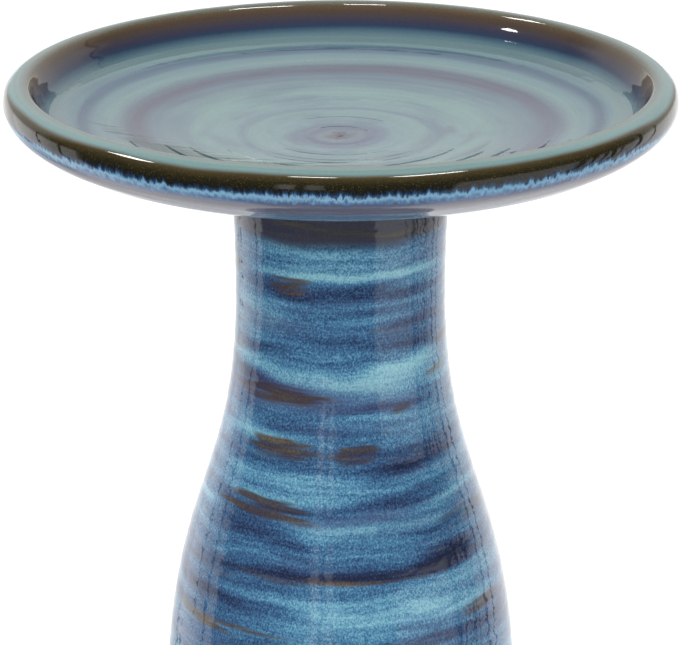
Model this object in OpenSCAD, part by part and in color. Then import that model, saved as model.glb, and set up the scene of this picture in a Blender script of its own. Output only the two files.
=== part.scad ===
// Two-piece bird bath in glazed stoneware: a thick-lipped dish that drops onto a hollow, bell-shaped pedestal.
// Units are millimetres, +Z is up, and the origin is on the ground under the centre of the pedestal.

/* [Overall] */
// Height from the ground to the crest of the basin's lip
total_h = 520; // [500:5:560]

/* [Basin] */
// Outside diameter of the basin
basin_d = 425; // [400:5:450]
// Width of the rounded lip, from the dish to the outside edge
lip_w = 16.5; // [13:0.5:20]
// Depth of the dish at its centre, below the lip
dish_depth = 38; // [34:0.5:39]
// How far the dish's floor climbs from its centre to the foot of its wall
floor_rise = 18; // [12:0.5:18]
// Height of the basin from its seat to the crest of the lip
basin_h = 50; // [49:0.5:54]

/* [Spigot] */
// Outside radius of the ring under the basin that centres it in the neck
spigot_r = 44; // [38:0.5:45]
// Thickness of that ring
spigot_wall = 9; // [7:0.5:12]
// How far that ring reaches below the seat
spigot_h = 16; // [10:1:24]

/* [Pedestal] */
// Widest radius of the pedestal, low on its belly
belly_r = 116; // [108:1:124]
// Height of that widest place
belly_at = 69; // [60:1:90]
// Narrowest radius of the pedestal, near its top
waist_r = 67.5; // [66:0.5:72]
// Radius at the top edge of the neck
neck_r = 70; // [69:0.5:74]
// Outside radius of the foot
foot_r = 103; // [98:1:106]
// Thickness of the pedestal's wall
wall = 8; // [7:0.5:10]
// Radius of the round opening in the neck
bore_r = 48; // [47:0.5:49]

/* [Rubber pieces] */
// Thickness of the cushion ring between the basin and the pedestal
ring_t = 3; // [2:0.5:4]
// Height of the pads under the foot
pad_h = 3; // [2:0.5:5]
// Radius of each pad
pad_r = 6; // [4:0.5:6]

/* [Hidden] */
$fn = 180;
pad_count = 4;

// Heights that follow from the driving ones
seat_z = total_h - basin_h;
neck_z = seat_z - ring_t;
foot_z = pad_h;
dish_z = total_h - dish_depth;

// The dish's floor, and the wall that climbs from it to the lip
basin_r = basin_d / 2;
lip_in_r = basin_r - lip_w;
floor_r = lip_in_r - 12;
floor_power = 2.4;
floor_edge_z = dish_z + floor_rise;

// The lip's crest, the turn of its outer edge and the widest place of the basin
crest_r = lip_in_r + 4;
edge_r = basin_r - 3.5;
edge_drop = 2.6;
girth_z = total_h - 11.5;

// The basin's belly is an ellipse down to belly_turn, and flattens into the seat from there
belly_centre_r = 60;
belly_depth = 44;
belly_turn = 52;
belly_end = [
    belly_centre_r + (basin_r - belly_centre_r) * cos(belly_turn),
    girth_z - belly_depth * sin(belly_turn)
];
belly_slope = belly_depth / (basin_r - belly_centre_r) / tan(belly_turn);
seat_r = 72;
recess = 2;
spigot_fillet = 2.5;
spigot_end_r = 3;

// The pedestal's waist sits a little below its neck
waist_z = neck_z - 84;
neck_edge_r = 4;
belly_reach = 185;
waist_reach = 139;
collar_h = 15;
collar_turn_h = 24;
foot_in_r = foot_r - 15;
foot_edge = 2;
pad_circle_r = (foot_r + foot_in_r - foot_edge) / 2;

// Inside and outside radius of the cushion ring
ring_in_r = bore_r + 3;
ring_out_r = neck_r - 6;
ring_edge = 0.8;
pad_edge = 0.8;

// Points along a cubic curve, from p[0] to p[3] with handles p[1] and p[2]
function bezier(p, n = 12) = [
    for (i = [0:n]) let (t = i / n, u = 1 - t)
        u * u * u * p[0] + 3 * t * u * u * p[1] + 3 * t * t * u * p[2] + t * t * t * p[3]
];

// Points along an arc with radii rx and ry about a centre
function arc(centre, rx, ry, from, to, n = 6) = [
    for (i = [0:n]) let (a = from + (to - from) * i / n) centre + [rx * cos(a), ry * sin(a)]
];

// A list of points without its first one, for joining curves end to end
function after(points) = [for (i = [1:len(points) - 1]) points[i]];

// The dish, from its centre out to the foot of its wall
function dish_floor(n = 20) = [
    for (i = [0:n]) let (r = floor_r * i / n) [r, dish_z + floor_rise * pow(i / n, floor_power)]
];

// The dish's wall, creased where it meets the floor, then the lip and its outer edge to the widest place
function lip_outline() = let (wall_top = [lip_in_r - 0.8, total_h - 3]) concat(
    after(bezier([[floor_r, floor_edge_z], [floor_r + 2.6, floor_edge_z + 4],
                  wall_top - [4.5, 7.5], wall_top])),
    after(bezier([wall_top, wall_top + [1.1, 1.95], [crest_r - 2.4, total_h], [crest_r, total_h]], 6)),
    after(bezier([[crest_r, total_h], [crest_r + 4, total_h],
                  [edge_r - 3, total_h - edge_drop + 2], [edge_r, total_h - edge_drop]], 6)),
    after(bezier([[edge_r, total_h - edge_drop], [edge_r + 2.1, total_h - edge_drop - 1.4],
                  [basin_r, girth_z + 4.5], [basin_r, girth_z]], 8))
);

// The basin's outside, from its widest place in to the edge of the seat
function belly_outline() = let (handle = (belly_end[1] - seat_z) / belly_slope) concat(
    after(arc([belly_centre_r, girth_z], basin_r - belly_centre_r, -belly_depth, 0, belly_turn, 18)),
    after(bezier([belly_end, [belly_end[0] - handle, seat_z], [seat_r + 28, seat_z], [seat_r, seat_z]]))
);

// The ring under the seat, and the shallow recess inside it
function spigot_outline() = let (
    f = spigot_fillet,
    e = spigot_end_r,
    inner_r = spigot_r - spigot_wall,
    end_z = seat_z - spigot_h
) concat(
    arc([spigot_r + f, seat_z - f], f, f, 90, 180),
    arc([spigot_r - e, end_z + e], e, e, 0, -90),
    arc([inner_r + e, end_z + e], e, e, -90, -180),
    arc([inner_r - f, seat_z + recess - f], f, f, 0, 90),
    [[0, seat_z + recess]]
);

module basin() {
    color("lightseagreen")
        rotate_extrude()
            polygon(concat(dish_floor(), lip_outline(), belly_outline(), spigot_outline()));
}

// A flat rubber ring with softened edges
module seat_ring() {
    e = ring_edge;
    color("dimgray")
        rotate_extrude()
            polygon(concat(
                arc([ring_out_r - e, seat_z - e], e, e, 90, 0, 4),
                arc([ring_out_r - e, neck_z + e], e, e, 0, -90, 4),
                arc([ring_in_r + e, neck_z + e], e, e, -90, -180, 4),
                arc([ring_in_r + e, seat_z - e], e, e, 180, 90, 4)
            ));
}

// The pedestal's outside, from its foot up to the top of the neck
function pedestal_outside() = concat(
    bezier([[foot_r, foot_z + foot_edge], [foot_r + 7, foot_z + 15], [belly_r, belly_at - 32], [belly_r, belly_at]]),
    after(bezier([[belly_r, belly_at], [belly_r, belly_at + belly_reach],
                  [waist_r, waist_z - waist_reach], [waist_r, waist_z]], 36)),
    after(bezier([[waist_r, waist_z], [waist_r, waist_z + 40],
                  [neck_r, neck_z - neck_edge_r - 14], [neck_r, neck_z - neck_edge_r]])),
    after(arc([neck_r - neck_edge_r, neck_z - neck_edge_r], neck_edge_r, neck_edge_r, 0, 90))
);

// The pedestal's inside, from the rim of its bore down to the foot
function pedestal_inside() = let (
    in_waist_r = waist_r - wall,
    in_belly_r = belly_r - wall,
    collar_z = neck_z - collar_h,
    turn_z = collar_z - collar_turn_h
) concat(
    arc([bore_r + 1.5, neck_z - 1.5], 1.5, 1.5, 90, 180, 4),
    bezier([[bore_r, collar_z], [bore_r, collar_z - 10], [in_waist_r, turn_z + 14], [in_waist_r, turn_z]], 8),
    bezier([[in_waist_r, waist_z], [in_waist_r, waist_z - waist_reach],
            [in_belly_r, belly_at + belly_reach], [in_belly_r, belly_at]], 36),
    after(bezier([[in_belly_r, belly_at], [in_belly_r, belly_at - 34],
                  [foot_in_r - 1, foot_z + 28], [foot_in_r - 1, foot_z + 6]])),
    [[foot_in_r, foot_z]]
);

module pedestal() {
    color("steelblue")
        rotate_extrude()
            polygon(concat(pedestal_outside(), pedestal_inside(), [[foot_r - foot_edge, foot_z]]));
}

// One rubber pad under the foot, on one of the corners of a square
module foot_pad(i) {
    color("dimgray")
        rotate(45 + 360 / pad_count * (i - 1))
            translate([pad_circle_r, 0, 0])
                rotate_extrude($fn = 48)
                    polygon([[0, 0], [pad_r - pad_edge, 0], [pad_r, pad_edge], [pad_r, pad_h], [0, pad_h]]);
}

basin();
seat_ring();
pedestal();
for (i = [1:pad_count])
    foot_pad(i);
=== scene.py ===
"""Looks of a two-piece glazed bird bath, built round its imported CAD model.

Lengths are in metres, +Z is up, and the camera looks along +Y with +X to its right. The basin and the
pedestal are turned again from the outlines of their CAD solids, with many more points, so that throwing marks
and brushed glaze have something to sit on. The rubber ring has moulded grooves and the pads a dimple.
"""
import math

import bpy
import numpy as np
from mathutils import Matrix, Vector

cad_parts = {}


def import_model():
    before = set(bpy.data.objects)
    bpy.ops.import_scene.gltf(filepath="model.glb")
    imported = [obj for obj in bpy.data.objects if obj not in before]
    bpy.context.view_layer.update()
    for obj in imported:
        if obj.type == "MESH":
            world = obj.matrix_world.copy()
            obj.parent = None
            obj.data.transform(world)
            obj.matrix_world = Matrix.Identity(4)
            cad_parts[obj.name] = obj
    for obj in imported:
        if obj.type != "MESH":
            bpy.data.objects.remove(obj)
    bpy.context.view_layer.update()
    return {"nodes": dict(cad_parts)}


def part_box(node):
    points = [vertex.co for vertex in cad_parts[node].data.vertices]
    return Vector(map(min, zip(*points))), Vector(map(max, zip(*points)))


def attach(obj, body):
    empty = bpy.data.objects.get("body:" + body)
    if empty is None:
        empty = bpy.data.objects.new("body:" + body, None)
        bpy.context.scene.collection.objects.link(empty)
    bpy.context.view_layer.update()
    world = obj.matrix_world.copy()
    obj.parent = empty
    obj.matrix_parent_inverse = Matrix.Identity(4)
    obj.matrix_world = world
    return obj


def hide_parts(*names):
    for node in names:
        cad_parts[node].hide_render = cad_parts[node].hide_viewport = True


MM = 0.001

# Steps round each turned piece
TURN_STEPS = 256
SMALL_TURN_STEPS = 96

# Spacing of the rings along a visible outline, and along the pedestal's rough inside
FINE_STEP = 1.9 * MM
COARSE_STEP = 7 * MM
# A turn in the outline sharper than this stays a corner
CORNER_ANGLE = math.radians(38)
# Faces that meet at more than this are shaded as a crease
CREASE_ANGLE = math.radians(30)

# Camera
CAMERA_PLACE = (-0.0009, -2.4, 1.1669)
CAMERA_PITCH = math.radians(90 - 18.64)
CAMERA_LENS = 208.85


# ---------------------------------------------------------------- outlines

def rings_of(node):
    """The rings of a turned mesh as (radius, height) points, and each vertex's ring."""
    places = np.array([(math.hypot(v.co.x, v.co.y), v.co.z) for v in node.data.vertices])
    order = np.lexsort((places[:, 1], places[:, 0]))
    rings = []
    ring_of_vertex = np.zeros(len(places), int)
    tolerance = 0.03 * MM
    for index in order:
        for ring in range(len(rings) - 1, -1, -1):
            if rings[ring][0] < places[index][0] - tolerance:
                ring = -1
                break
            if abs(rings[ring][1] - places[index][1]) < tolerance:
                break
        else:
            ring = -1
        if ring < 0:
            rings.append(tuple(places[index]))
            ring = len(rings) - 1
        ring_of_vertex[index] = ring
    return rings, ring_of_vertex


def outline_of(node):
    """A turned CAD node's outline as (radius, height) points in order, and True if it's closed on itself.

    It is walked from ring to ring along the mesh, from the axis where the node reaches it.
    """
    rings, ring_of_vertex = rings_of(node)
    neighbours = [{} for _ in rings]
    for edge in node.data.edges:
        a, b = (int(ring_of_vertex[v]) for v in edge.vertices)
        if a != b:
            neighbours[a][b] = neighbours[a].get(b, 0) + 1
            neighbours[b][a] = neighbours[b].get(a, 0) + 1
    on_axis = [i for i, ring in enumerate(rings) if ring[0] < 0.1 * MM]
    here = max(on_axis, key=lambda i: rings[i][1]) if on_axis else 0
    path = [here]
    while True:
        options = [n for n in neighbours[here] if n not in path]
        if not options:
            break
        here = max(options, key=lambda n: neighbours[path[-1]][n])
        path.append(here)
    points = [rings[i] for i in path]
    if on_axis and points[-1][0] > 0.1 * MM:
        points.append((0.0, points[-1][1]))
    return np.array(points), not on_axis


def runs_outward(points):
    """True if a closed outline's outer side is on its left, going along it."""
    r, z = points[:, 0], points[:, 1]
    area = np.sum(r * np.roll(z, -1) - np.roll(r, -1) * z) / 2
    return area > 0


def smooth_outline(points, closed, step_at):
    """A smooth curve through the outline's points, corners kept, in steps of about step_at(point, way)."""
    points = np.asarray(points, float)
    count = len(points)
    segments = count if closed else count - 1
    ways = np.array([points[(i + 1) % count] - points[i] for i in range(segments)])
    lengths = np.linalg.norm(ways, axis=1)
    ways = ways / lengths[:, None]

    def tangent(index, segment):
        """The curve's direction at a point, as one segment sees it."""
        before, after = index - 1, index % segments if closed else index
        if not closed and (before < 0 or after >= segments):
            return ways[segment]
        before %= segments
        bend = math.acos(max(-1.0, min(1.0, float(ways[before] @ ways[after]))))
        if bend > CORNER_ANGLE:
            return ways[segment]
        mean = ways[before] * lengths[after] + ways[after] * lengths[before]
        return mean / np.linalg.norm(mean)

    result = []
    for i in range(segments):
        start, end = points[i], points[(i + 1) % count]
        start_way, end_way = tangent(i, i), tangent(i + 1, i)
        parts = max(1, math.ceil(lengths[i] / step_at(start, ways[i])))
        for part in range(parts):
            t = part / parts
            result.append(
                (2 * t ** 3 - 3 * t ** 2 + 1) * start
                + (t ** 3 - 2 * t ** 2 + t) * start_way * lengths[i]
                + (3 * t ** 2 - 2 * t ** 3) * end
                + (t ** 3 - t ** 2) * end_way * lengths[i]
            )
    if not closed:
        result.append(points[-1])
    return np.array(result)


def path_along(outline):
    """Each outline point's distance along the outline."""
    steps = np.linalg.norm(np.diff(outline, axis=0), axis=1)
    return np.concatenate([[0.0], np.cumsum(steps)])


def path_at(outline, path, radius, height):
    """The distance along the outline of its point nearest to a place."""
    return float(path[np.argmin(np.linalg.norm(outline - np.array([radius, height]), axis=1))])


# ---------------------------------------------------------------- turned pieces

def waves(values, seed, periods, height):
    """A smooth, wandering, repeatable wave along values, made of a few sines."""
    rng = np.random.default_rng(int(seed))
    total = np.zeros(np.shape(values))
    for period in periods:
        total += np.sin(2 * math.pi * np.asarray(values) / period + rng.uniform(0, 2 * math.pi))
    return height * total / len(periods)


def turn(name, outline, closed, steps=TURN_STEPS, lift=None, centre=(0.0, 0.0)):
    """A piece turned from an outline, with its distance along the outline kept on each vertex.

    lift(angles, path, place) is how far the surface stands out at each step round the ring at that place.
    """
    outline = np.asarray(outline, float)
    looped = np.vstack([outline, outline[:1]]) if closed else outline
    path = path_along(looped)
    ways = np.gradient(looped, axis=0)
    if closed:
        ways[0] = ways[-1] = looped[1] - looped[-2]
    ways /= np.linalg.norm(ways, axis=1)[:, None]
    normals = np.stack([ways[:, 1], -ways[:, 0]], axis=1)
    if closed and not runs_outward(outline):
        normals = -normals
    count = len(outline)
    angles = np.arange(steps) * 2 * math.pi / steps
    vertices = []
    paths = []
    first_of_ring = []
    for i in range(count):
        first_of_ring.append(len(vertices))
        radius, height = outline[i]
        if radius < 0.01 * MM:
            vertices.append((centre[0], centre[1], height))
            paths.append(path[i])
            continue
        stand = lift(angles, path[i], outline[i]) if lift else np.zeros(steps)
        r = radius + stand * normals[i][0]
        z = height + stand * normals[i][1]
        for k in range(steps):
            x = centre[0] + r[k] * math.sin(angles[k])
            y = centre[1] - r[k] * math.cos(angles[k])
            vertices.append((x, y, z[k]))
            paths.append(path[i])
    faces = []
    for i in range(count if closed else count - 1):
        a, b = first_of_ring[i], first_of_ring[(i + 1) % count]
        a_single = outline[i][0] < 0.01 * MM
        b_single = outline[(i + 1) % count][0] < 0.01 * MM
        for k in range(steps):
            n = (k + 1) % steps
            if a_single:
                faces.append((a, b + k, b + n))
            elif b_single:
                faces.append((a + k, b, a + n))
            else:
                faces.append((a + k, b + k, b + n, a + n))
    mesh = bpy.data.meshes.new(name)
    mesh.from_pydata(vertices, [], faces)
    mesh.validate()
    piece = bpy.data.objects.new(name, mesh)
    bpy.context.scene.collection.objects.link(piece)
    face_outward(mesh)
    mesh.shade_smooth()
    mesh.set_sharp_from_angle(angle=CREASE_ANGLE)
    store(mesh, "path", np.array(paths))
    return piece


def face_outward(mesh):
    """Turns every face so that the closed mesh's volume counts as positive."""
    co = np.array([v.co for v in mesh.vertices])
    mesh.calc_loop_triangles()
    tris = np.array([t.vertices for t in mesh.loop_triangles])
    a, b, c = co[tris[:, 0]], co[tris[:, 1]], co[tris[:, 2]]
    if np.sum(np.einsum("ij,ij->i", a, np.cross(b, c))) < 0:
        mesh.flip_normals()


def store(mesh, name, values):
    """Keeps one number per vertex, for the materials to read by name."""
    attribute = mesh.attributes.new(name, "FLOAT", "POINT")
    attribute.data.foreach_set("value", np.asarray(values, np.float32))


def polar(mesh):
    """Each vertex's angle in degrees, 0 towards the camera and 90 to its right, its radius and its height."""
    co = np.array([v.co for v in mesh.vertices])
    return np.degrees(np.arctan2(co[:, 0], -co[:, 1])), np.hypot(co[:, 0], co[:, 1]), co[:, 2]


# ---------------------------------------------------------------- node helpers

def shade(red, green, blue):
    """A colour given as 0 to 255 display values, as the linear values that nodes use."""
    linear = []
    for value in (red, green, blue):
        value = value / 255
        linear.append(value / 12.92 if value <= 0.04045 else ((value + 0.055) / 1.055) ** 2.4)
    return (*linear, 1.0)


class Nodes:
    """A short way to build one node tree."""

    def __init__(self, tree):
        self.tree = tree
        tree.nodes.clear()

    def add(self, kind, **settings):
        node = self.tree.nodes.new(kind)
        for name, value in settings.items():
            setattr(node, name, value)
        return node

    def feed(self, socket, value):
        """Links an output into a socket, or sets the socket to a plain value."""
        if isinstance(value, bpy.types.NodeSocket):
            self.tree.links.new(value, socket)
        else:
            socket.default_value = value

    def math(self, operation, *values, clamp=False):
        node = self.add("ShaderNodeMath", operation=operation, use_clamp=clamp)
        for socket, value in zip(node.inputs, values):
            self.feed(socket, value)
        return node.outputs[0]

    def vector(self, operation, *values):
        node = self.add("ShaderNodeVectorMath", operation=operation)
        for socket, value in zip(node.inputs, values):
            self.feed(socket, value)
        return node.outputs["Value"] if operation in ("LENGTH", "DOT_PRODUCT") else node.outputs[0]

    def noise(self, vector, scale, detail=2.0, roughness=0.5):
        node = self.add("ShaderNodeTexNoise")
        self.feed(node.inputs["Vector"], vector)
        self.feed(node.inputs["Scale"], scale)
        self.feed(node.inputs["Detail"], detail)
        self.feed(node.inputs["Roughness"], roughness)
        return node.outputs[0]

    def smooth(self, value, low, high, to_low=0.0, to_high=1.0):
        """Eases from to_low to to_high as value goes from low to high."""
        node = self.add("ShaderNodeMapRange", interpolation_type="SMOOTHSTEP")
        for name, given in (("Value", value), ("From Min", low), ("From Max", high),
                            ("To Min", to_low), ("To Max", to_high)):
            self.feed(node.inputs[name], given)
        return node.outputs[0]

    def ramp(self, factor, stops):
        """A colour ramp through (position, colour) stops."""
        node = self.add("ShaderNodeValToRGB")
        elements = node.color_ramp.elements
        elements[0].position, elements[0].color = stops[0]
        elements[1].position, elements[1].color = stops[-1]
        for position, colour in stops[1:-1]:
            elements.new(position).color = colour
        self.feed(node.inputs[0], factor)
        return node.outputs[0]

    def mix(self, factor, first, second, blend="MIX"):
        node = self.add("ShaderNodeMix", data_type="RGBA", blend_type=blend)
        self.feed(node.inputs[0], factor)
        self.feed(node.inputs[6], first)
        self.feed(node.inputs[7], second)
        return node.outputs[2]

    def value_of(self, name):
        """A number kept on the mesh's vertices."""
        return self.add("ShaderNodeAttribute", attribute_name=name).outputs["Fac"]

    def bump(self, height, distance, normal=None):
        node = self.add("ShaderNodeBump")
        node.inputs["Strength"].default_value = 1.0
        node.inputs["Distance"].default_value = distance
        self.feed(node.inputs["Height"], height)
        if normal is not None:
            self.feed(node.inputs["Normal"], normal)
        return node.outputs[0]


def new_material(name):
    material = bpy.data.materials.new(name)
    material.use_nodes = True
    return material, Nodes(material.node_tree)


def finish_material(nodes, colour, roughness, normal, **plain):
    """The shader itself, with its plain values set on its own sockets."""
    shader = nodes.add("ShaderNodeBsdfPrincipled")
    nodes.feed(shader.inputs["Base Color"], colour)
    nodes.feed(shader.inputs["Roughness"], roughness)
    nodes.feed(shader.inputs["Normal"], normal)
    for name, value in plain.items():
        shader.inputs[name.replace("_", " ")].default_value = value
    output = nodes.add("ShaderNodeOutputMaterial")
    nodes.feed(output.inputs[0], shader.outputs[0])


def clay_colour(nodes, place):
    """Bare buff stoneware, lightly toasted and specked with iron."""
    cloud = nodes.noise(place, 35.0, 3.0)
    speck = nodes.noise(place, 1400.0, 1.0)
    body = nodes.ramp(cloud, [
        (0.3, shade(150, 112, 84)), (0.55, shade(178, 142, 110)), (0.75, shade(192, 162, 132)),
    ])
    return nodes.mix(nodes.smooth(speck, 0.68, 0.74), body, shade(92, 62, 44))


# ---------------------------------------------------------------- the basin

# The dish from its centre out, as (radius in mm, colour)
DISH_COLOURS = [
    (0, (70, 58, 62)), (12, (98, 112, 122)), (19, (88, 96, 114)), (27, (92, 108, 124)),
    (33, (104, 128, 134)), (50, (108, 132, 134)), (57, (106, 130, 132)), (62, (96, 116, 126)),
    (67, (107, 131, 134)), (92, (109, 135, 134)), (122, (92, 108, 120)), (129, (84, 84, 98)),
    (135, (82, 88, 102)), (141, (98, 117, 124)), (148, (104, 129, 130)), (157, (96, 121, 128)),
    (162, (68, 90, 108)), (165, (62, 84, 103)), (169, (86, 113, 122)), (175, (98, 122, 124)),
    (181, (96, 118, 121)), (184.6, (88, 112, 120)), (186.4, (66, 90, 106)), (188.2, (40, 56, 78)),
    (190, (54, 54, 72)), (192, (64, 58, 62)), (194.2, (76, 62, 50)), (195.8, (88, 76, 60)),
    (197.4, (98, 98, 88)), (201, (108, 124, 122)), (205, (112, 132, 130)),
]
# The outside from the lip's crest down, as (radius in mm, drop below the crest in mm, colour)
OUTSIDE_COLOURS = [
    (203, 0.0, (110, 130, 128)), (207.6, 0.7, (108, 136, 136)), (209.4, 1.3, (94, 106, 104)),
    (210.8, 2.1, (74, 68, 52)), (211.7, 3.6, (58, 50, 30)), (212.3, 6.5, (32, 29, 14)),
    (212.5, 9.5, (18, 18, 12)), (212.5, 12.0, (16, 22, 26)), (212.4, 13.4, (34, 58, 88)),
    (212.2, 14.6, (92, 134, 164)), (211.8, 16.4, (112, 154, 180)), (211.1, 18.2, (78, 112, 144)),
    (209.8, 20.4, (50, 72, 108)), (208, 22.8, (76, 76, 92)), (203, 27.0, (84, 82, 92)),
    (196, 31.8, (76, 84, 104)), (186, 37.0, (70, 92, 110)), (177, 40.0, (106, 108, 98)),
    (168, 42.6, (66, 86, 102)), (140, 46.2, (56, 78, 102)), (110, 49.0, (64, 74, 94)),
    (74, 50.0, (52, 74, 96)),
]
# Smears of glaze on the dish's floor: angle in degrees, radius and sizes in mm, turn of the stroke, how mauve
DISH_SMEARS = [
    (62, 96, 22, 5, 0.9), (78, 80, 16, 4, 0.8), (96, 70, 10, 7, 0.7), (100, 58, 30, 4, 0.6),
    (-60, 34, 24, 5, 0.7), (170, 33, 34, 5, 0.5), (20, 26, 30, 5, 0.6), (88, 141, 40, 8, 0.5),
    (-120, 120, 26, 7, 0.5), (140, 164, 30, 5, 0.5),
]


# The band of painted reflection of the basin's dark wall, as dark green streaks across the floor behind the
# front of the lip, in mm: radius of its arc, its distance behind the lip, its depth and its two ends
PAINTED_REFLECTION_ARC = 203
PAINTED_REFLECTION_OFFSET = 114
PAINTED_REFLECTION_DEPTH = 34
PAINTED_REFLECTION_ENDS = (-150, 52)


def basin_lift(angles, path, place):
    """Throwing rings in the dish and on the belly, and a lip that isn't quite level."""
    radius, height = place
    rings = waves(path + 1.2 * MM * np.sin(angles + 0.6), 3, (7.1 * MM, 11.3 * MM, 17.9 * MM), 0.16 * MM)
    sway = 0.22 * MM * np.sin(2 * angles + 0.8) + 0.12 * MM * np.sin(5 * angles + 2.1)
    near_lip = math.exp(-((radius - 206 * MM) / (9 * MM)) ** 2)
    bare = 0.0 if radius < 76 * MM and height < 0.475 else 1.0
    return (rings * (1 - 0.8 * near_lip) + sway * near_lip) * bare - 0.2 * MM * bare


def make_basin(node):
    outline, closed = outline_of(node)
    top = float(outline[:, 1].max())
    fine = smooth_outline(outline, closed, lambda point, way: FINE_STEP)
    basin = turn("glazed_basin", fine, closed, lift=basin_lift)
    path = path_along(fine)
    lip_path = path_at(fine, path, 203 * MM, top)
    seat_path = path_at(fine, path, 74 * MM, top - 50 * MM)
    degrees, radius, height = polar(basin.data)
    smear = np.zeros(len(radius))
    for angle, at, half_length, half_width, amount in DISH_SMEARS:
        turned = (degrees - angle + 180) % 360 - 180
        along = np.radians(turned) * radius / (half_length * MM)
        across = (radius - at * MM - 0.12 * np.radians(turned) * radius) / (half_width * MM)
        smear += amount * np.exp(-along ** 4 - across ** 2)
    dish = height > top - 40 * MM
    store(basin.data, "smear", np.where(dish, smear, 0))
    # Painted reflection: the band of the dish floor where the basin's dark wall is painted on as if mirrored
    store(basin.data, "painted_reflection", np.where(dish, painted_reflection_amount(basin.data), 0))
    basin.data.materials.append(basin_material(fine, path, lip_path, seat_path, top))
    return basin


def painted_reflection_amount(mesh):
    """How strongly the painted reflection of the basin's dark wall shows as dark green streaks, in a band
    across the floor behind the front of the lip.
    """
    co = np.array([v.co for v in mesh.vertices]) / MM
    x = np.clip(co[:, 0], -PAINTED_REFLECTION_ARC, PAINTED_REFLECTION_ARC)
    from_band = co[:, 1] + np.sqrt(PAINTED_REFLECTION_ARC ** 2 - x ** 2) - PAINTED_REFLECTION_OFFSET
    depth = np.where(from_band > 0, from_band / PAINTED_REFLECTION_DEPTH, -from_band / (0.6 * PAINTED_REFLECTION_DEPTH))
    left, right = PAINTED_REFLECTION_ENDS
    across = (co[:, 0] - (left + right) / 2) / ((right - left) / 2)
    return np.clip(1 - depth, 0, 1) * np.exp(-across ** 6)


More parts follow.
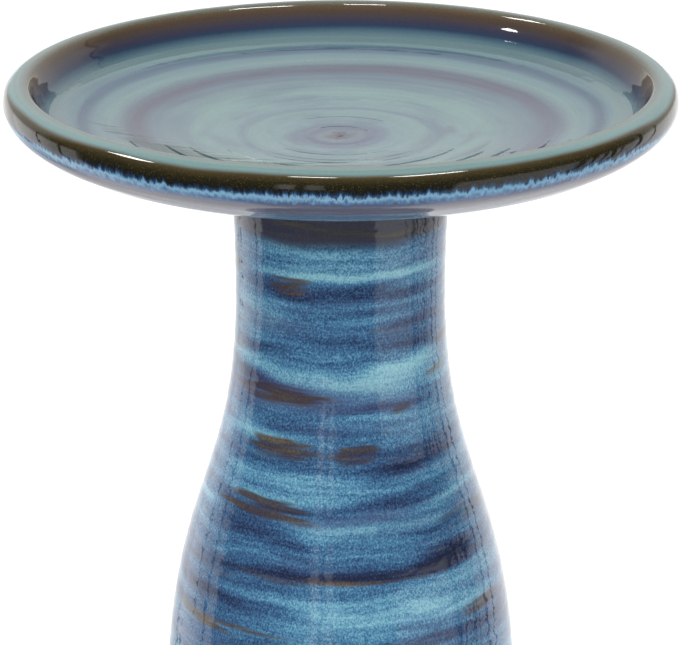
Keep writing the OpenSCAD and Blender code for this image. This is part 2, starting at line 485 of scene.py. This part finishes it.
def basin_material(outline, path, lip_path, seat_path, top):
    """Reactive glaze that changes along the outline: sage dish, brown lip edge, blue fringe, mauve belly."""
    material, nodes = new_material("basin_glaze")
    place = nodes.add("ShaderNodeTexCoord").outputs["Object"]
    parts = nodes.add("ShaderNodeSeparateXYZ")
    nodes.feed(parts.inputs[0], place)
    along = nodes.value_of("path")
    flat = nodes.add("ShaderNodeCombineXYZ")
    nodes.feed(flat.inputs[0], parts.outputs[0])
    nodes.feed(flat.inputs[1], parts.outputs[1])
    way_out = nodes.vector("NORMALIZE", flat.outputs[0])
    ring_place = ring_coordinates(nodes, way_out, along)
    drift = nodes.noise(ring_place(0.9, 12.0), 1.0, 2.0)
    streak = nodes.noise(ring_place(1.8, 120.0), 1.0, 2.0, 0.5)
    fine_streak = nodes.noise(ring_place(4.0, 520.0), 1.0, 2.0)
    speckle = nodes.noise(place, 900.0, 2.0, 0.6)

    # The dish
    wander = nodes.math("MULTIPLY_ADD", nodes.math("SUBTRACT", drift, 0.5), 13 * MM, along)
    shaken = nodes.math("MULTIPLY_ADD", nodes.math("SUBTRACT", streak, 0.5), 3.5 * MM, wander)
    inside_of_wall = nodes.smooth(along, 174 * MM, 184 * MM, 0.0, 0.75)
    steady = nodes.add("ShaderNodeMix", data_type="FLOAT")
    nodes.feed(steady.inputs[0], inside_of_wall)
    nodes.feed(steady.inputs[2], shaken)
    nodes.feed(steady.inputs[3], along)
    ruffled = nodes.math("MULTIPLY_ADD", nodes.math("SUBTRACT", speckle, 0.5), 3.0 * MM, steady.outputs[0])
    dish_stops = []
    for radius, colour in DISH_COLOURS:
        height = dish_height(outline, path, lip_path, radius * MM)
        dish_stops.append((path_at(outline, path, radius * MM, height) / lip_path, shade(*colour)))
    dish = nodes.ramp(nodes.math("DIVIDE", ruffled, lip_path), dish_stops)
    broken = nodes.smooth(streak, 0.3, 0.7, 0.0, 0.7)
    smear = nodes.math("MULTIPLY", nodes.value_of("smear"), broken, clamp=True)
    dish = nodes.mix(smear, dish, shade(78, 84, 102))
    clouds = nodes.smooth(nodes.noise(ring_place(1.3, 42.0), 1.0, 2.0), 0.45, 0.75, 0.0, 0.5)
    clouds = nodes.math("MULTIPLY", clouds, nodes.smooth(along, 178 * MM, 184 * MM, 1.0, 0.0))
    dish = nodes.mix(clouds, dish, shade(84, 100, 118))
    # Painted reflection of the basin's dark wall: dark green streaks in the band behind the front of the lip
    painted_reflection_lines = nodes.noise(nodes.vector("MULTIPLY", place, (16.0, 230.0, 0.0)), 1.0, 3.0, 0.6)
    painted_reflection_band = nodes.value_of("painted_reflection")
    painted_reflection = nodes.math("MULTIPLY_ADD", nodes.math("SUBTRACT", painted_reflection_lines, 0.5), 2.6, painted_reflection_band)
    painted_reflection = nodes.smooth(painted_reflection, 0.42, 0.72, 0.0, 0.72)
    painted_reflection = nodes.math("MULTIPLY", painted_reflection, nodes.smooth(painted_reflection_band, 0.02, 0.2))
    dish = nodes.mix(painted_reflection, dish, shade(34, 66, 60))

    # The outside
    comb_place = nodes.vector("MULTIPLY", place, (1.0, 1.0, 0.14))
    teeth = nodes.noise(comb_place, 300.0, 3.0, 0.7)
    tooth_size = nodes.smooth(nodes.noise(place, 16.0, 1.0), 0.35, 0.65, 5.0 * MM, 14.0 * MM)
    tooth = nodes.math("MULTIPLY", nodes.math("SUBTRACT", teeth, 0.5), tooth_size)
    girth_path = path_at(outline, path, 212.5 * MM, top - 11.5 * MM)
    toothed = nodes.math("MULTIPLY", tooth, nodes.smooth(along, girth_path - 5 * MM, girth_path + 1 * MM))
    sag = nodes.math("MULTIPLY", nodes.math("SUBTRACT", nodes.noise(place, 11.0, 2.0), 0.5), 5.0 * MM)
    fall = nodes.math("ADD", nodes.math("ADD", along, toothed), sag)
    outside_length = seat_path - lip_path
    outside_stops = []
    for radius, drop, colour in OUTSIDE_COLOURS:
        at = path_at(outline, path, radius * MM, top - drop * MM)
        outside_stops.append(((at - lip_path) / outside_length, shade(*colour)))
    share = nodes.math("DIVIDE", nodes.math("SUBTRACT", fall, lip_path), outside_length)
    outside = nodes.ramp(share, outside_stops)
    gold = nodes.smooth(nodes.noise(place, 1100.0, 2.0, 0.7), 0.56, 0.72, 0.0, 0.5)
    brown_zone = nodes.math("MULTIPLY", nodes.smooth(along, girth_path - 11 * MM, girth_path - 8 * MM),
                            nodes.smooth(along, girth_path - 2 * MM, girth_path + 2 * MM, 1.0, 0.0))
    outside = nodes.mix(nodes.math("MULTIPLY", gold, brown_zone), outside, shade(112, 92, 44))

    glaze = nodes.mix(nodes.smooth(along, lip_path - 1 * MM, lip_path + 1 * MM), dish, outside)
    grain = nodes.math("MULTIPLY", speckle, 0.30)
    grain = nodes.math("ADD", grain, nodes.math("MULTIPLY", fine_streak, 0.16))
    grain = nodes.math("ADD", grain, 0.77)
    grained = nodes.vector("MULTIPLY", glaze, nodes.math("MAXIMUM", grain, 0.0))
    bare_edge = nodes.math("MULTIPLY_ADD", nodes.noise(place, 60.0, 2.0), 3 * MM, along)
    bare = nodes.smooth(bare_edge, seat_path + 1 * MM, seat_path + 1.8 * MM)
    colour = nodes.mix(bare, grained, clay_colour(nodes, place))
    roughness = nodes.math("MULTIPLY_ADD", bare, 0.72, nodes.math("MULTIPLY_ADD", speckle, 0.05, 0.02))
    normal = nodes.bump(nodes.noise(ring_place(2.0, 110.0), 1.0, 2.0), 0.10 * MM)
    normal = nodes.bump(nodes.noise(place, 70.0, 2.0), 0.16 * MM, normal)
    normal = nodes.bump(nodes.math("MULTIPLY", nodes.noise(place, 1500.0, 2.0), bare), 0.12 * MM, normal)
    finish_material(nodes, colour, roughness, normal, IOR=1.52)
    return material


def dish_height(outline, path, lip_path, radius):
    """The height of the dish's surface at a radius."""
    inner = path <= lip_path
    return float(np.interp(radius, outline[inner, 0], outline[inner, 1]))


def ring_coordinates(nodes, way_out, along):
    """A maker of noise coordinates that change slowly round the axis and fast along the outline."""
    def make(around, per_metre):
        lifted = nodes.add("ShaderNodeCombineXYZ")
        nodes.feed(lifted.inputs[2], nodes.math("MULTIPLY", along, per_metre))
        scaled = nodes.vector("MULTIPLY", way_out, (around, around, around))
        return nodes.vector("ADD", scaled, lifted.outputs[0])
    return make


# ---------------------------------------------------------------- the pedestal

# Brush strokes, as (angle and half length in degrees, height and half height in mm, rise in mm per degree,
# amount)
LIGHT_STROKES = [
    (8, 60, 409, 2.6, 0.02, 1.1), (-62, 34, 346, 4.5, -0.05, 1.0), (0, 38, 339, 8.0, 0.0, 1.1),
    (38, 26, 347, 6.0, 0.04, 1.2), (-10, 44, 424, 10, 0.0, 0.55), (10, 70, 389, 2.0, 0.03, 0.6),
    (-50, 20, 380, 6, 0.0, 0.6), (20, 40, 318, 4.0, 0.05, 0.5), (-30, 50, 279, 4.0, 0.0, 0.45),
    (20, 60, 246, 5.0, 0.03, 0.6), (-8, 22, 262, 7.0, 0.0, 0.5), (24, 44, 192, 9.0, 0.05, 0.9),
    (-60, 30, 300, 5.0, 0.0, 0.6), (62, 24, 262, 6.0, 0.06, 0.5), (60, 30, 216, 9.0, 0.0, 0.5),
]
DARK_STROKES = [
    (-8, 46, 398, 6.5, 0.0, 0.9), (-14, 34, 366, 4.0, 0.02, 0.6), (-44, 24, 336, 3.0, -0.10, 1.0),
    (10, 34, 322, 3.5, 0.03, 0.9), (42, 30, 286, 6.0, 0.14, 1.0), (-22, 26, 308, 4.0, -0.03, 0.6),
    (18, 36, 262, 4.5, 0.06, 1.1), (-36, 22, 243, 9.0, -0.03, 0.9), (0, 60, 219, 2.6, 0.0, 0.9),
    (44, 14, 224, 7.5, 0.05, 1.3), (-50, 36, 196, 4.0, -0.03, 0.8), (50, 40, 176, 4.0, 0.04, 0.7),
    (48, 26, 376, 4.0, 0.06, 0.6), (40, 22, 362, 3.0, 0.04, 0.5), (-70, 24, 262, 6.0, 0.0, 0.6),
]
BROWN_STROKES = [
    (-32, 13, 401, 6.5, 0.0, 1.0), (-44, 34, 329, 6.5, 0.02, 1.2), (28, 16, 371, 3.5, 0.05, 0.45),
    (34, 6, 321, 3.0, 0.08, 1.0), (-35, 20, 296, 7.0, -0.04, 1.2), (7, 14, 295, 6.5, 0.0, 1.0),
    (-34, 22, 258, 7.0, -0.05, 1.15), (-14, 44, 217, 1.8, 0.0, 0.9), (-60, 30, 212, 3.0, 0.0, 0.7),
    (66, 16, 340, 4.0, 0.0, 0.6), (-58, 30, 178, 4.0, -0.03, 0.8), (64, 22, 246, 4.0, 0.05, 0.7),
    (-80, 20, 402, 8.0, 0.0, 0.5), (62, 22, 186, 5.0, 0.03, 0.7), (-74, 20, 366, 4.0, 0.0, 0.5),
]
# The strokes on the far side are drawn at random, this many of each kind
FAR_STROKES = 18
# Distance between the fibres of a brown stroke, in mm of its half height, and how far they overlap
FIBRE_SPACING = 1.5
FIBRE_OVERLAP = 1.25
COLLAR_HEIGHT = 431 * MM
# The colours of the blue ground, the brown strokes and the collar, from thin glaze to thick
BLUES = [
    (0.0, (28, 34, 56)), (0.18, (38, 51, 82)), (0.34, (48, 78, 114)), (0.48, (60, 102, 138)),
    (0.62, (80, 130, 160)), (0.78, (108, 160, 181)), (1.0, (140, 186, 194)),
]
BROWNS = [
    (0.28, (38, 38, 52)), (0.42, (58, 50, 62)), (0.52, (66, 54, 50)), (0.62, (80, 70, 56)),
    (0.76, (116, 88, 54)),
]
CHARCOALS = [(0.3, (36, 42, 54)), (0.45, (54, 50, 62)), (0.56, (52, 49, 50)), (0.7, (76, 64, 50))]


def painted(strokes, degrees, height):
    """How strongly a set of brush strokes covers each vertex."""
    total = np.zeros(len(degrees))
    for angle, half_length, at, half_height, rise, amount in strokes:
        turned = (degrees - angle + 180) % 360 - 180
        wander = waves(turned, at, (31.0, 53.0, 97.0), 0.3 * half_height + 0.6)
        across = (height / MM - at - rise * turned + wander) / half_height
        total += amount * np.exp(-(turned / half_length) ** 4 - across ** 2)
    return total


def frayed(strokes, seed):
    """Each stroke as a few thin fibres side by side, of uneven length, as a nearly dry brush leaves them."""
    rng = np.random.default_rng(seed)
    fibres = []
    for angle, half_length, at, half_height, rise, amount in strokes:
        count = max(2, round(half_height / FIBRE_SPACING))
        for k in range(count):
            offset = half_height * (2 * (k + 0.5) / count - 1) * 0.9
            fibres.append((
                angle + rng.uniform(-0.35, 0.35) * half_length,
                half_length * rng.uniform(0.55, 1.15),
                at + offset,
                half_height / count * FIBRE_OVERLAP,
                rise + rng.uniform(-0.03, 0.03),
                amount * rng.uniform(0.6, 1.1),
            ))
    return fibres


def far_strokes(seed, thickest):
    """Strokes for the sides and back, of the same kind as those on the front."""
    rng = np.random.default_rng(seed)
    strokes = []
    for _ in range(FAR_STROKES):
        strokes.append((
            180 + rng.uniform(-85, 85), rng.uniform(12, 50), rng.uniform(10, 420),
            rng.uniform(2, thickest), rng.uniform(-0.08, 0.08), rng.uniform(0.6, 1.2),
        ))
    return strokes


def low_strokes(seed, thickest):
    """Strokes for the lowest part of the front."""
    rng = np.random.default_rng(seed)
    strokes = []
    for _ in range(FAR_STROKES // 2):
        strokes.append((
            rng.uniform(-90, 90), rng.uniform(14, 50), rng.uniform(8, 165),
            rng.uniform(2, thickest), rng.uniform(-0.06, 0.06), rng.uniform(0.6, 1.1),
        ))
    return strokes


def pedestal_lift(angles, path, place):
    """Throwing ridges that run nearly level round the wall."""
    radius, height = place
    ridges = waves(height + 1.5 * MM * np.sin(angles + 1.0), 11, (9.7 * MM, 14.3 * MM, 23 * MM), 0.13 * MM)
    sway = 0.15 * MM * np.sin(3 * angles + height * 18) + 0.1 * MM * np.sin(7 * angles - height * 31)
    ease = min(1.0, max(0.0, (height - 6 * MM) / (12 * MM))) * min(1.0, max(0.0, (0.462 - height) / (6 * MM)))
    return (ridges + sway - 0.2 * MM) * ease


def make_pedestal(node):
    outline, closed = outline_of(node)
    lowest = int(np.argmin(outline[:, 1] - outline[:, 0] * 0.001))
    outline = np.roll(outline, -lowest, axis=0)
    if not runs_outward(outline):
        outline = np.roll(outline[::-1], 1, axis=0)

    def step_at(point, way):
        return FINE_STEP * 1.15 if way[1] > -0.3 else COARSE_STEP

    fine = smooth_outline(outline, closed, step_at)
    pedestal = turn("glazed_pedestal", fine, closed, lift=pedestal_lift)
    mesh = pedestal.data
    degrees, radius, height = polar(mesh)
    inside = inner_side(mesh, fine)
    light = painted(LIGHT_STROKES + far_strokes(21, 7) + low_strokes(24, 7), degrees, height)
    dark = painted(DARK_STROKES + far_strokes(22, 7) + low_strokes(25, 7), degrees, height)
    browns = BROWN_STROKES + far_strokes(23, 5) + low_strokes(26, 4)
    brown = painted(frayed(browns, 27), degrees, height)
    store(mesh, "tone", light - dark)
    store(mesh, "brown", brown)
    store(mesh, "bare", inside)
    mesh.materials.append(pedestal_material())
    return pedestal


def inner_side(mesh, outline):
    """1 on the pedestal's inside, its seat and the ring that it stands on, and 0 on its glazed outside."""
    normals = np.array([v.normal for v in mesh.vertices])
    co = np.array([v.co for v in mesh.vertices])
    radius = np.hypot(co[:, 0], co[:, 1])
    outward = (normals[:, 0] * co[:, 0] + normals[:, 1] * co[:, 1]) / np.maximum(radius, 1e-6)
    top = outline[:, 1].max()
    seat = (co[:, 2] > top - 1 * MM) & (radius < 66.5 * MM)
    return np.where((outward < -0.15) | (co[:, 2] < 4.5 * MM) | seat, 1.0, 0.0)


def pedestal_material():
    """Brushed reactive glaze: navy to turquoise streaks, brown strokes and a charcoal collar, over clay."""
    material, nodes = new_material("pedestal_glaze")
    place = nodes.add("ShaderNodeTexCoord").outputs["Object"]
    parts = nodes.add("ShaderNodeSeparateXYZ")
    nodes.feed(parts.inputs[0], place)
    height = parts.outputs[2]
    sway = nodes.add("ShaderNodeCombineXYZ")
    nodes.feed(sway.inputs[2], nodes.math("MULTIPLY", nodes.noise(place, 17.0, 2.0), 12 * MM))
    brushed = nodes.vector("ADD", place, sway.outputs[0])
    broad = nodes.noise(nodes.vector("MULTIPLY", brushed, (6.0, 6.0, 58.0)), 1.0, 2.0)
    streak = nodes.noise(nodes.vector("MULTIPLY", brushed, (12.0, 12.0, 170.0)), 1.0, 3.0, 0.55)
    hair = nodes.noise(nodes.vector("MULTIPLY", brushed, (30.0, 30.0, 620.0)), 1.0, 2.0)
    speckle = nodes.noise(nodes.vector("MULTIPLY", place, (1.0, 1.0, 0.75)), 860.0, 2.0, 0.8)
    brown_paint, tone_paint = nodes.value_of("brown"), nodes.value_of("tone")

    tone = nodes.math("MULTIPLY_ADD", nodes.math("SUBTRACT", broad, 0.5), 0.75, 0.47)
    for value, weight in ((streak, 0.62), (hair, 0.24), (speckle, 1.15)):
        tone = nodes.math("MULTIPLY_ADD", nodes.math("SUBTRACT", value, 0.5), weight, tone)
    tone = nodes.math("MULTIPLY_ADD", tone_paint, 0.32, tone)
    blue = nodes.ramp(tone, [(at, shade(*colour)) for at, colour in BLUES])
    violet = nodes.noise(nodes.vector("MULTIPLY", place, (7.0, 7.0, 48.0)), 1.0, 2.0)
    violet = nodes.smooth(violet, 0.5, 0.72, 0.0, 0.5)
    blue = nodes.mix(violet, blue, shade(78, 84, 118))

    cover = nodes.math("MULTIPLY_ADD", nodes.math("SUBTRACT", streak, 0.5), 2.0, brown_paint)
    for value, weight in ((hair, 1.9), (speckle, 1.3)):
        cover = nodes.math("MULTIPLY_ADD", nodes.math("SUBTRACT", value, 0.5), weight, cover)
    cover = nodes.smooth(cover, 0.12, 1.15, 0.0, 0.92)
    cover = nodes.math("MULTIPLY", cover, nodes.smooth(brown_paint, 0.05, 0.4))
    grain = nodes.math("MULTIPLY_ADD", nodes.math("SUBTRACT", speckle, 0.5), 0.45, streak)
    brown = nodes.ramp(grain, [(at, shade(*colour)) for at, colour in BROWNS])
    glaze = nodes.mix(cover, blue, brown)

    collar_edge = nodes.math("MULTIPLY_ADD", nodes.noise(place, 16.0, 2.0), 9 * MM, height)
    collar_edge = nodes.math("MULTIPLY_ADD", speckle, 3 * MM, collar_edge)
    collar = nodes.smooth(collar_edge, COLLAR_HEIGHT - 1 * MM, COLLAR_HEIGHT + 9 * MM, 0.0, 0.94)
    collar_colour = nodes.ramp(streak, [(at, shade(*colour)) for at, colour in CHARCOALS])
    glaze = nodes.mix(collar, glaze, collar_colour)

    bare = nodes.smooth(nodes.value_of("bare"), 0.35, 0.65)
    colour = nodes.mix(bare, glaze, clay_colour(nodes, place))
    roughness = nodes.math("MULTIPLY_ADD", bare, 0.72, nodes.math("MULTIPLY_ADD", speckle, 0.05, 0.03))
    dents = nodes.noise(nodes.vector("MULTIPLY", place, (55.0, 55.0, 120.0)), 1.0, 2.0)
    ripples = nodes.noise(nodes.vector("MULTIPLY", place, (150.0, 150.0, 260.0)), 1.0, 1.0)
    normal = nodes.bump(dents, 0.38 * MM)
    normal = nodes.bump(ripples, 0.10 * MM, normal)
    normal = nodes.bump(streak, 0.04 * MM, normal)
    normal = nodes.bump(nodes.math("MULTIPLY", nodes.noise(place, 1500.0, 2.0), bare), 0.12 * MM, normal)
    finish_material(nodes, colour, roughness, normal, IOR=1.52)
    return material


# ---------------------------------------------------------------- the rubber pieces

# The moulded grooves round each face of the seat ring
GROOVES = 4
GROOVE_DEPTH = 0.35 * MM


def grooved(low, high, count, depth, at):
    """Points along a level face from radius low to high, with shallow round grooves, at height at."""
    points = []
    for k in range(count * 8 + 1):
        t = k / (count * 8)
        points.append((low + (high - low) * t, at - depth * 0.5 * (1 - math.cos(2 * math.pi * count * t))))
    return points


def make_seat_ring(node):
    low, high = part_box("seat_ring")
    outline, _ = outline_of(node)
    inner, outer = float(outline[:, 0].min()), float(outline[:, 0].max())
    edge = 0.7 * MM
    corners = [math.radians(a) for a in range(0, 91, 18)]
    points = grooved(inner + edge, outer - edge, GROOVES, GROOVE_DEPTH, high[2])
    points += [(outer - edge + edge * math.sin(a), high[2] - edge + edge * math.cos(a)) for a in corners[1:]]
    points += [(outer - edge + edge * math.cos(a), low[2] + edge - edge * math.sin(a)) for a in corners]
    lower_face = grooved(outer - edge, inner + edge, GROOVES, GROOVE_DEPTH, high[2])
    points += [(r, low[2] + (high[2] - z)) for r, z in lower_face[1:]]
    points += [(inner + edge - edge * math.sin(a), low[2] + edge - edge * math.cos(a)) for a in corners[1:]]
    points += [(inner + edge - edge * math.cos(a), high[2] - edge + edge * math.sin(a)) for a in corners[:-1]]
    ring = turn("rubber_seat_ring", points, True, steps=180)
    ring.data.materials.append(rubber_material())
    return ring


def make_foot_pad(node_name, piece_name, material):
    low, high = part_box(node_name)
    centre = ((low[0] + high[0]) / 2, (low[1] + high[1]) / 2)
    radius = (high[0] - low[0]) / 2
    edge = 0.9 * MM
    steps = [math.radians(a) for a in range(0, 91, 15)]
    points = [(0.0, low[2] + 0.5 * MM), (radius * 0.3, low[2] + 0.5 * MM), (radius * 0.38, low[2] + 0.1 * MM)]
    points += [(radius * 0.45, low[2])]
    points += [(radius - edge + edge * math.sin(a), low[2] + edge - edge * math.cos(a)) for a in steps]
    points += [(radius, high[2] - 0.3 * MM), (radius - 0.3 * MM, high[2]), (0.0, high[2])]
    pad = turn(piece_name, points, False, steps=SMALL_TURN_STEPS, centre=centre)
    pad.data.materials.append(material)
    return pad


def rubber_material():
    """Matt black moulded rubber, with a little bloom and a fine grain."""
    material, nodes = new_material("moulded_rubber")
    place = nodes.add("ShaderNodeTexCoord").outputs["Object"]
    bloom = nodes.noise(place, 120.0, 3.0)
    grain = nodes.noise(place, 4200.0, 2.0)
    colour = nodes.ramp(bloom, [(0.35, shade(28, 28, 29)), (0.7, shade(46, 46, 47))])
    roughness = nodes.math("MULTIPLY_ADD", grain, 0.2, 0.55)
    finish_material(nodes, colour, roughness, nodes.bump(grain, 0.04 * MM), IOR=1.45)
    return material


# ---------------------------------------------------------------- the studio

# What the glaze mirrors: (azimuth from, to, elevation from, to, softness, brightness).
# Azimuth 0 is towards the camera and +90 to its right, in degrees. Later panels add to earlier ones.
PANELS = [
    (118, 242, -20, 46, 9, 0.62),
    (89, 180, -75, 0, 1.5, 0.98),
    (180, 218, -75, 2, 1.8, 0.74),
    (218, 263, -75, 2, 1.8, 1.12),
    (38, 84, -40, 2, 3, 0.9),
    (-21, -15, -6, 12, 1.5, 1.2),
    (-11, -6, -6, 12, 1.5, 1.0),
    (-180, 180, -90, -42, 8, 0.5),
]
# Thin dark stands in front of the bright panels: azimuth, width, elevation from, to, in degrees
STANDS = [
    (92.5, 2.6, -60, 6), (97.5, 1.8, -60, 0), (102.5, 2.8, -60, 6), (107, 1.2, -40, 0), (118, 2.2, -60, 30),
    (128, 1.6, -60, 8), (77, 1.2, -60, -14), (253, 2.2, -60, 30), (221, 3.6, -40, -19), (213, 2.4, -40, -19),
    (239, 1.2, -14, 8),
]
DIM_ROOM = 0.10


def build_world():
    """A studio that is plain white to the camera, and panels round a dim room to the glaze."""
    world = bpy.data.worlds.new("studio")
    world.use_nodes = True
    nodes = Nodes(world.node_tree)
    way = nodes.add("ShaderNodeTexCoord").outputs["Generated"]
    parts = nodes.add("ShaderNodeSeparateXYZ")
    nodes.feed(parts.inputs[0], way)
    x, y, z = parts.outputs
    azimuth = nodes.math("MULTIPLY", nodes.math("ARCTAN2", x, nodes.math("MULTIPLY", y, -1.0)), 180 / math.pi)
    whole = nodes.math("ADD", azimuth, nodes.math("MULTIPLY", nodes.math("LESS_THAN", azimuth, 0.0), 360.0))
    elevation = nodes.math("MULTIPLY", nodes.math("ARCSINE", z), 180 / math.pi)

    def within(value, low, high, soft):
        rise = nodes.smooth(value, low - soft, low + soft)
        return nodes.math("MULTIPLY", rise, nodes.smooth(value, high - soft, high + soft, 1.0, 0.0))

    total = DIM_ROOM
    for start, end, low, high, soft, brightness in PANELS:
        around = azimuth if start < 0 else whole
        tall = within(elevation, low, high, max(soft, 4))
        patch = nodes.math("MULTIPLY", within(around, start, end, soft), tall)
        total = nodes.math("MULTIPLY_ADD", patch, brightness, total)
    for at, width, low, high in STANDS:
        wide = within(whole, at - width / 2, at + width / 2, 0.3)
        band = nodes.math("MULTIPLY", wide, within(elevation, low, high, 2))
        total = nodes.math("MULTIPLY", total, nodes.math("SUBTRACT", 1.0, nodes.math("MULTIPLY", band, 0.92)))
    room = nodes.add("ShaderNodeBackground")
    nodes.feed(room.inputs[0], (1.0, 1.0, 1.0, 1.0))
    nodes.feed(room.inputs[1], total)
    plain = nodes.add("ShaderNodeBackground")
    plain.inputs[0].default_value = (1.0, 1.0, 1.0, 1.0)
    plain.inputs[1].default_value = 1.0
    choice = nodes.add("ShaderNodeMixShader")
    nodes.feed(choice.inputs[0], nodes.add("ShaderNodeLightPath").outputs["Is Camera Ray"])
    nodes.feed(choice.inputs[1], room.outputs[0])
    nodes.feed(choice.inputs[2], plain.outputs[0])
    output = nodes.add("ShaderNodeOutputWorld")
    nodes.feed(output.inputs[0], choice.outputs[0])
    bpy.context.scene.world = world


def add_sun(name, way, strength, spread):
    """Even, soft light from one side, that the glaze doesn't mirror."""
    light = bpy.data.lights.new(name, "SUN")
    light.energy = strength
    light.angle = math.radians(spread)
    lamp = bpy.data.objects.new(name, light)
    lamp.rotation_euler = Vector(way).to_track_quat("Z", "Y").to_euler()
    lamp.visible_glossy = False
    lamp.visible_camera = False
    bpy.context.scene.collection.objects.link(lamp)


def add_box_light(name, place, size, radiance):
    """A soft box hung overhead, facing the basin, that shows as a streak on the lip."""
    light = bpy.data.lights.new(name, "AREA")
    light.shape = "RECTANGLE"
    light.size, light.size_y = size
    light.energy = radiance * size[0] * size[1] * math.pi
    lamp = bpy.data.objects.new(name, light)
    lamp.location = place
    lamp.rotation_euler = (Vector(place) - Vector((0.0, 0.0, 0.5))).to_track_quat("Z", "Y").to_euler()
    lamp.visible_camera = False
    bpy.context.scene.collection.objects.link(lamp)


def build_lights():
    add_sun("sun_front_left", (-0.7, -1.0, 0.75), 1.5, 60)
    add_sun("sun_front_right", (0.9, -0.8, 0.7), 1.2, 60)
    add_sun("sun_back", (0.0, 0.8, 1.0), 1.1, 70)
    add_box_light("box_left", (-1.95, 0.3, 2.72), (0.85, 0.3), 28)
    add_box_light("box_middle", (-0.31, -0.86, 3.33), (0.52, 0.3), 28)
    add_box_light("box_right", (0.93, -0.68, 3.24), (0.95, 0.3), 28)


def build_floor():
    """A plain white floor. The glaze mirrors the studio's panels in place of it."""
    size = 30.0
    corners = [(-size, -size, 0), (size, -size, 0), (size, size, 0), (-size, size, 0)]
    mesh = bpy.data.meshes.new("floor")
    mesh.from_pydata(corners, [], [(0, 1, 2, 3)])
    floor = bpy.data.objects.new("floor", mesh)
    bpy.context.scene.collection.objects.link(floor)
    material, nodes = new_material("white_floor")
    shader = nodes.add("ShaderNodeBsdfPrincipled")
    shader.inputs["Base Color"].default_value = (0.9, 0.9, 0.9, 1.0)
    shader.inputs["Roughness"].default_value = 0.9
    shader.inputs["Emission Color"].default_value = (1.0, 1.0, 1.0, 1.0)
    shader.inputs["Emission Strength"].default_value = 0.14
    nodes.feed(nodes.add("ShaderNodeOutputMaterial").inputs[0], shader.outputs[0])
    mesh.materials.append(material)
    floor.visible_glossy = False


def build_camera():
    camera = bpy.data.cameras.new("camera")
    camera.lens = CAMERA_LENS
    camera.sensor_width = 36.0
    camera.clip_end = 60.0
    holder = bpy.data.objects.new("camera", camera)
    holder.location = CAMERA_PLACE
    holder.rotation_euler = (CAMERA_PITCH, 0.0, 0.0)
    bpy.context.scene.collection.objects.link(holder)
    bpy.context.scene.camera = holder


# ---------------------------------------------------------------- the whole scene

def fit(piece, body, node_name):
    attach(piece, body)
    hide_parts(node_name)


def main():
    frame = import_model()
    nodes = frame["nodes"]
    build_camera()
    build_world()
    build_lights()
    build_floor()
    bpy.context.scene.view_settings.view_transform = "Standard"

    fit(make_basin(nodes["basin"]), "basin", "basin")
    fit(make_pedestal(nodes["pedestal"]), "pedestal", "pedestal")
    ring = make_seat_ring(nodes["seat_ring"])
    fit(ring, "seat_ring", "seat_ring")
    rubber = ring.data.materials[0]
    for number in range(1, 5):
        node_name = f"foot_pad_{number}"
        fit(make_foot_pad(node_name, f"rubber_foot_pad_{number}", rubber), "pedestal", node_name)


main()
